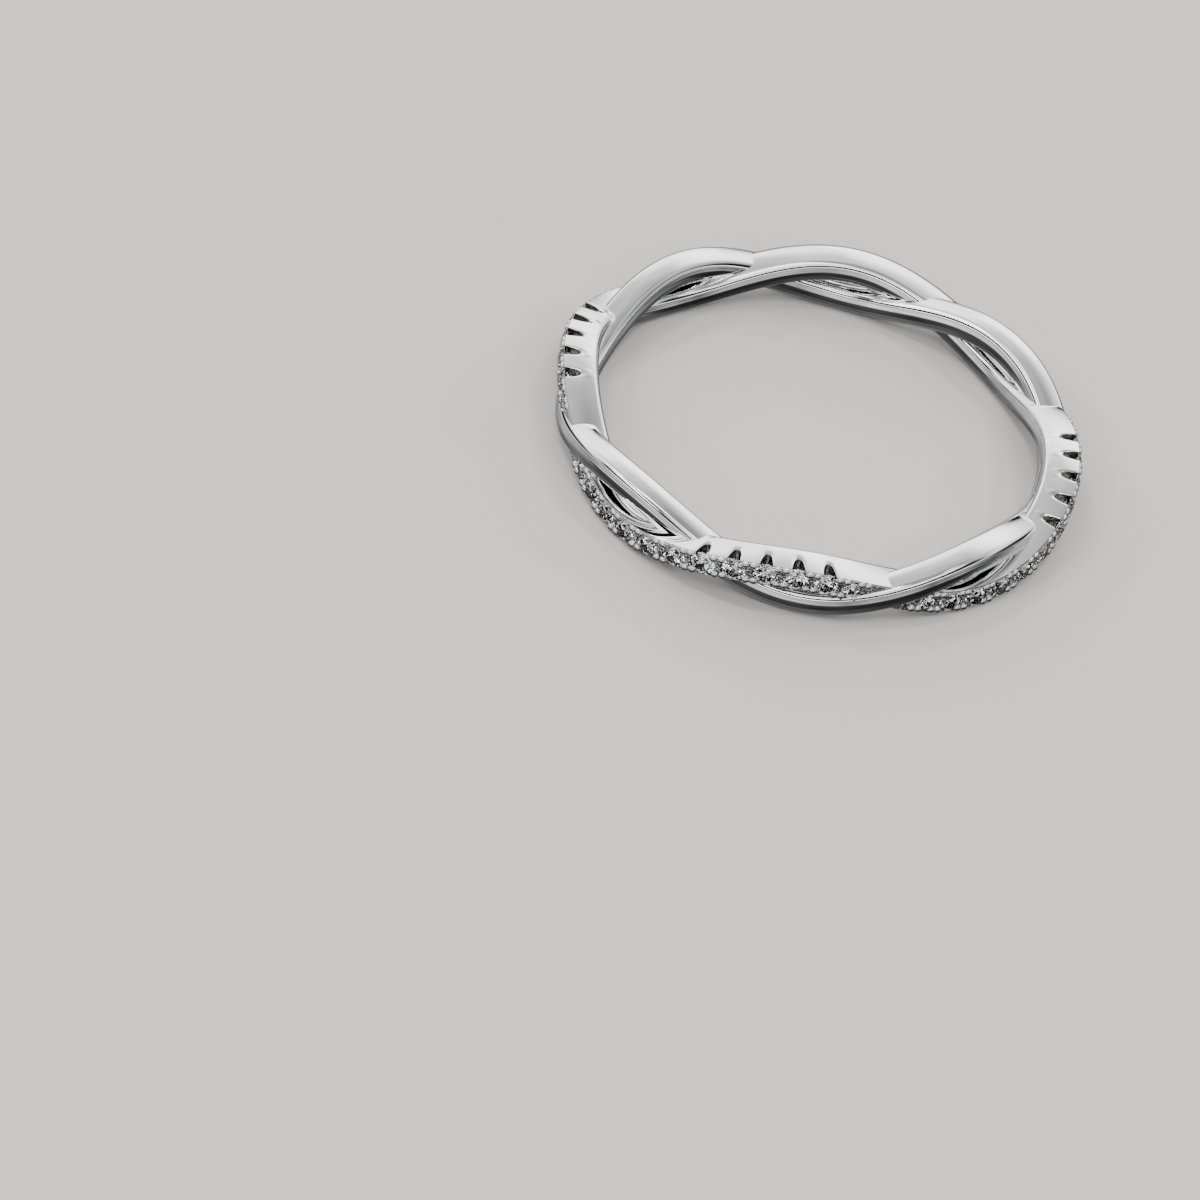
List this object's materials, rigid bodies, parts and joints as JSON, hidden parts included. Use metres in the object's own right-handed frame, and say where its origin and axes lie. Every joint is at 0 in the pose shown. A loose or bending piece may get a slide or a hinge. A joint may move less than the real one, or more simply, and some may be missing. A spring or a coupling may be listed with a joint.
{
  "type": "stackable ring",
  "caption": "Finger ring of two strands wound round each other, one plain and one with a row of round brilliants over part of it, lying on its side.",
  "frame": {"origin": "on the ring's axis, level with the surface that it lies on", "axes": "+Z along the finger hole's axis, up from the surface; the set strand is outside the plain one at +X, -X, +Y and -Y"},
  "size_m": [0.0212, 0.0211, 0.0024],
  "materials": {
    "polished_silver": "polished and rhodium plated",
    "clear_stones": "faceted and polished"
  },
  "bodies": {
    "root": {"stone_01": "clear_stones", "stone_02": "clear_stones", "stone_03": "clear_stones", "stone_04": "clear_stones", "stone_05": "clear_stones", "stone_06": "clear_stones", "stone_07": "clear_stones", "stone_08": "clear_stones", "stone_09": "clear_stones", "stone_10": "clear_stones", "stone_11": "clear_stones", "stone_12": "clear_stones", "stone_13": "clear_stones", "stone_14": "clear_stones", "stone_15": "clear_stones", "stone_16": "clear_stones", "stone_17": "clear_stones", "stone_18": "clear_stones", "stone_19": "clear_stones", "stone_20": "clear_stones", "stone_21": "clear_stones", "stone_22": "clear_stones", "stone_23": "clear_stones", "stone_24": "clear_stones", "stone_25": "clear_stones", "stone_26": "clear_stones", "stone_27": "clear_stones", "stone_28": "clear_stones", "stone_29": "clear_stones", "stone_30": "clear_stones", "stone_31": "clear_stones", "twisted_band": "polished_silver"}
  },
  "joints": []
}
